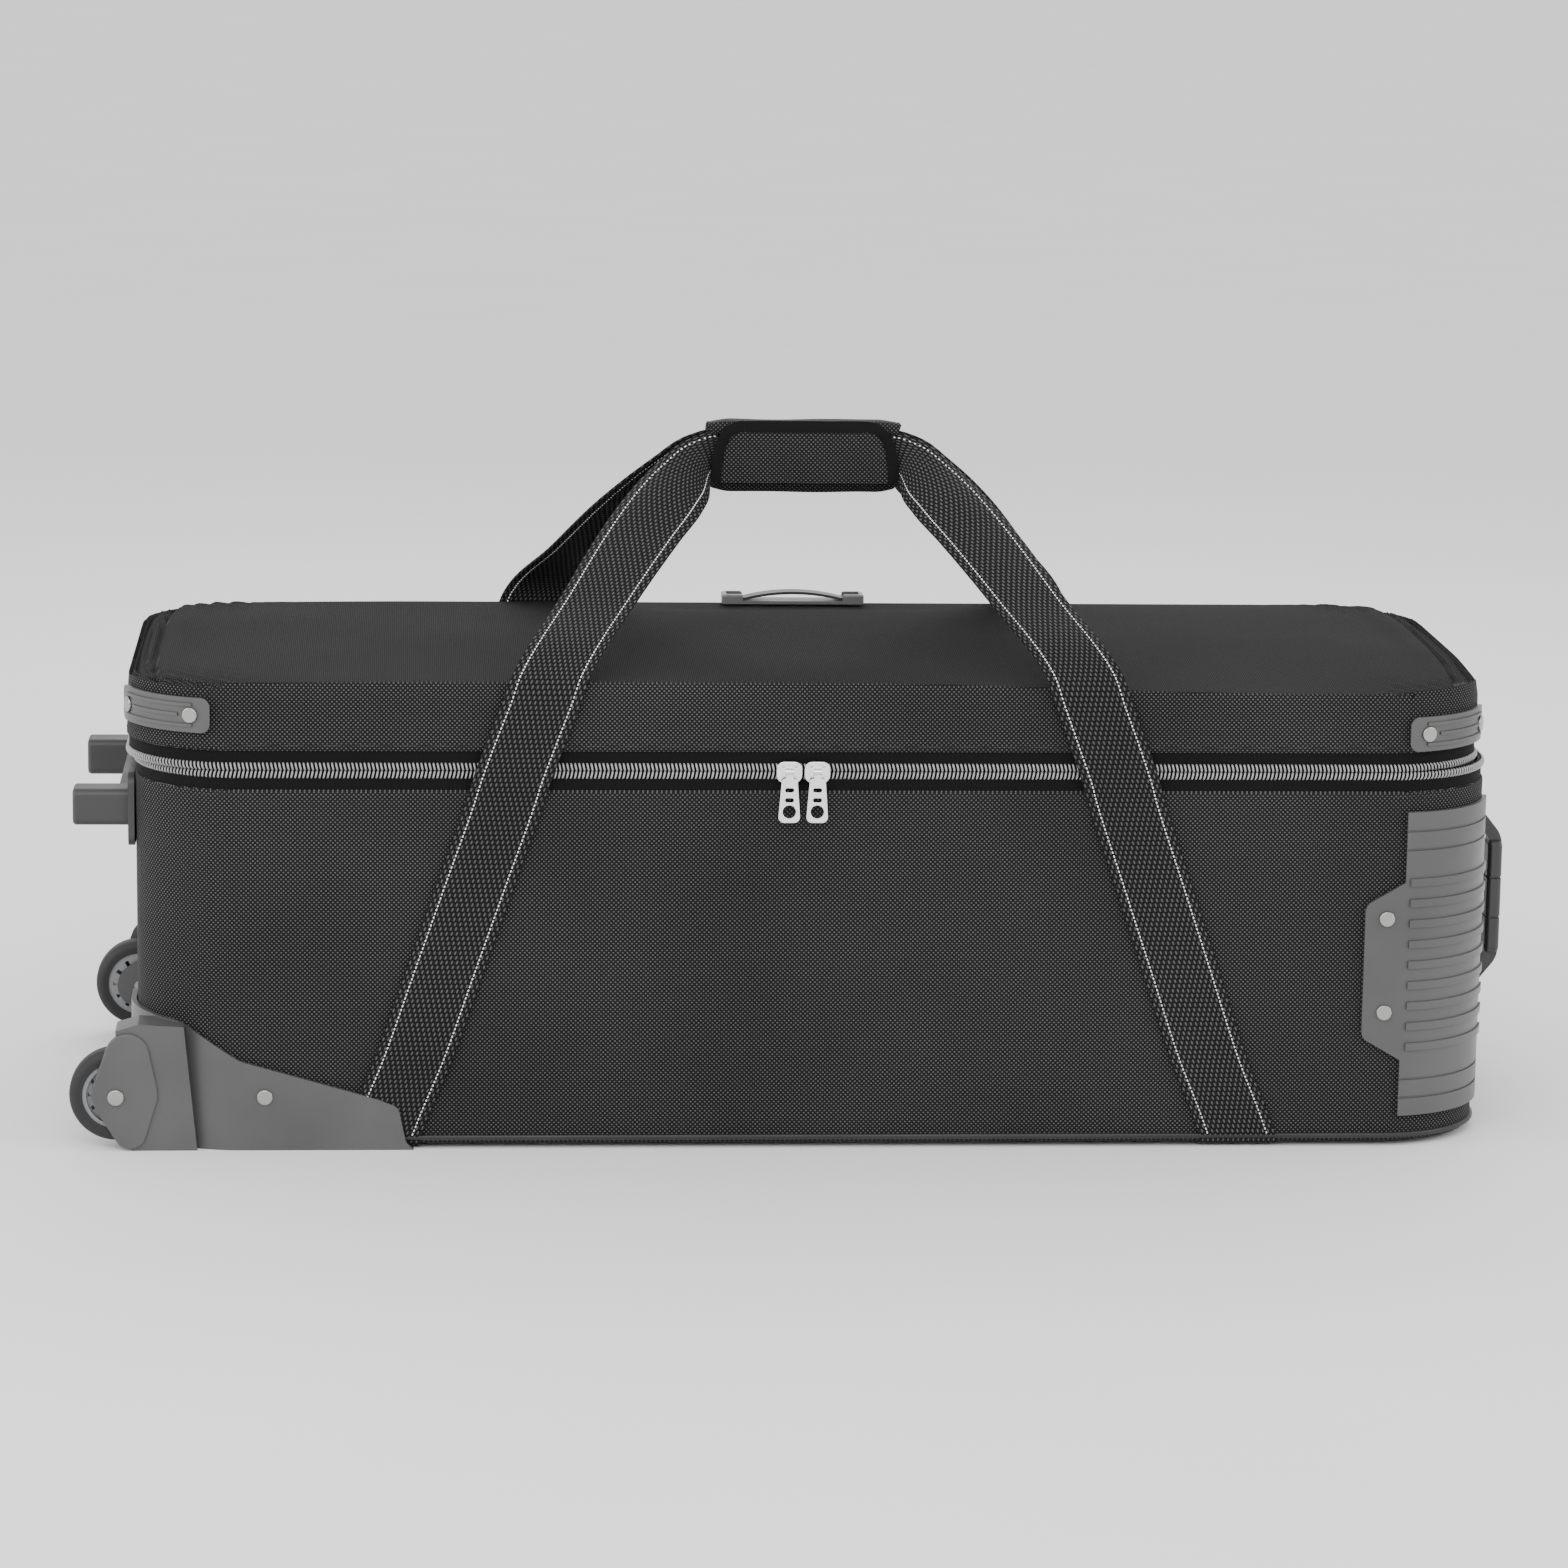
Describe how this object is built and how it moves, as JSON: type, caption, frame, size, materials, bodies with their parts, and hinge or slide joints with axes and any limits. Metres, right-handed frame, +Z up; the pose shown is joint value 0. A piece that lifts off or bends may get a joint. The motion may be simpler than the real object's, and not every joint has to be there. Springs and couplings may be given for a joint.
{
  "type": "bowling ball bag",
  "caption": "Long padded carry case with a zipped hinged lid, two wheels, moulded corner guards, stand-off feet, a pull handle and webbing carry loops joined by a wrap grip.",
  "frame": {"origin": "on the floor under the middle of the whole case, with the case lying on its base", "axes": "+X along the case from the wheels to the pull handle, +Y from the zip front to the hinge at the back, +Z up"},
  "size_m": [1.1504, 0.4206, 0.5455],
  "materials": {
    "shell_fabric": "coarse woven polyester, matte",
    "trim_fabric": "woven binding, matte",
    "webbing": "ribbed webbing, matte",
    "zip_tape": "fine woven tape, matte",
    "zip_coil": "glossy nylon coil",
    "lining": "brushed loop lining",
    "foam": "closed-cell foam",
    "board": "hardboard",
    "moulded_plastic": "satin moulded",
    "grey_plastic": "satin moulded",
    "hub_plastic": "satin moulded",
    "tyre": "soft matte",
    "bright_metal": "bright plated"
  },
  "bodies": {
    "case": {"body_shell": "shell_fabric", "base_board": "board", "foam_liner": "lining", "divider_1": "lining", "divider_2": "lining", "divider_3": "lining", "ball_cradle_1": "foam", "ball_cradle_2": "foam", "ball_cradle_3": "foam", "ball_cradle_4": "foam", "base_piping": "trim_fabric", "zip_tape_lower": "zip_tape", "zip_chain_lower": "zip_coil", "hinge_band_lower": "trim_fabric", "wheel_guard_front": "moulded_plastic", "wheel_guard_back": "moulded_plastic", "carry_strap_wheel_end": "webbing", "carry_strap_handle_end": "webbing", "base_glides": "moulded_plastic", "corner_guard_front": "moulded_plastic", "corner_guard_back": "moulded_plastic", "foot_bracket": "moulded_plastic", "pull_handle_base": "moulded_plastic", "axle_front": "bright_metal", "axle_back": "bright_metal", "case_rivets": "bright_metal"},
    "lid": {"lid_shell": "shell_fabric", "lid_foam": "lining", "zip_tape_upper": "zip_tape", "zip_chain_upper": "zip_coil", "hinge_band_upper": "trim_fabric", "lid_guard_wheel_end_front": "moulded_plastic", "lid_guard_wheel_end_back": "moulded_plastic", "lid_guard_handle_end_front": "moulded_plastic", "lid_guard_handle_end_back": "moulded_plastic", "lid_rivets": "bright_metal", "top_handle_base": "grey_plastic"},
    "wheel_front": {"tyre_front": "tyre", "hub_front": "hub_plastic", "bearings_front": "bright_metal"},
    "wheel_back": {"tyre_back": "tyre", "hub_back": "hub_plastic", "bearings_back": "bright_metal"},
    "top_handle": {"top_handle_strap": "moulded_plastic"},
    "front_loop": {"carry_loop_front": "webbing"},
    "back_loop": {"carry_loop_back": "webbing", "grip_wrap": "trim_fabric"},
    "grip_flap": {"grip_flap": "trim_fabric"},
    "slider_left": {"slider_left": "bright_metal"},
    "pull_left": {"pull_left": "bright_metal"},
    "slider_right": {"slider_right": "bright_metal"},
    "pull_right": {"pull_right": "bright_metal"},
    "pull_handle": {"pull_handle": "moulded_plastic"}
  },
  "joints": [
    {"name": "lid_hinge", "type": "hinge", "parent": "case", "child": "lid", "pos_m": [0, 0.203, 0.2985], "axis": [-1, 0, 0], "range_deg": [0, 110]},
    {"name": "front_loop_swing", "type": "hinge", "parent": "case", "child": "front_loop", "pos_m": [0, -0.206, 0.286], "axis": [1, 0, 0], "range_deg": [0, 165], "deforming": ["carry_loop_front"]},
    {"name": "back_loop_swing", "type": "hinge", "parent": "case", "child": "back_loop", "pos_m": [0, 0.206, 0.286], "axis": [-1, 0, 0], "range_deg": [0, 165]},
    {"name": "grip_flap_hinge", "type": "hinge", "parent": "back_loop", "child": "grip_flap", "pos_m": [0, -0.0155, 0.499], "axis": [1, 0, 0], "range_deg": [0, 120]},
    {"name": "front_wheel_spin", "type": "hinge", "parent": "case", "child": "wheel_front", "pos_m": [-0.53885, -0.1915, 0.0429], "axis": [0, 1, 0], "continuous": true},
    {"name": "back_wheel_spin", "type": "hinge", "parent": "case", "child": "wheel_back", "pos_m": [-0.53885, 0.1915, 0.0429], "axis": [0, 1, 0], "continuous": true},
    {"name": "left_slider_run", "type": "slide", "parent": "case", "child": "slider_left", "axis": [-1, 0, 0], "range_m": [0, 0.16]},
    {"name": "right_slider_run", "type": "slide", "parent": "case", "child": "slider_right", "axis": [1, 0, 0], "range_m": [0, 0.18]},
    {"name": "left_pull_swing", "type": "hinge", "parent": "slider_left", "child": "pull_left", "pos_m": [-0.0218, -0.2079, 0.2995], "axis": [-1, 0, 0], "range_deg": [0, 150]},
    {"name": "right_pull_swing", "type": "hinge", "parent": "slider_right", "child": "pull_right", "pos_m": [-0.0002, -0.2079, 0.2995], "axis": [-1, 0, 0], "range_deg": [0, 150]},
    {"name": "pull_handle_slide", "type": "slide", "parent": "case", "child": "pull_handle", "axis": [1, 0, 0], "range_m": [0, 0.015], "stiffness_N_per_m": 300},
    {"name": "top_handle_lift", "type": "slide", "parent": "lid", "child": "top_handle", "axis": [0, 0, 1], "range_m": [0, 0.008]}
  ],
  "couplings": [
    {"joint": "front_loop_swing", "follows": "lid_hinge", "ratio": 1.5},
    {"joint": "back_loop_swing", "follows": "lid_hinge", "ratio": 1.5}
  ]
}
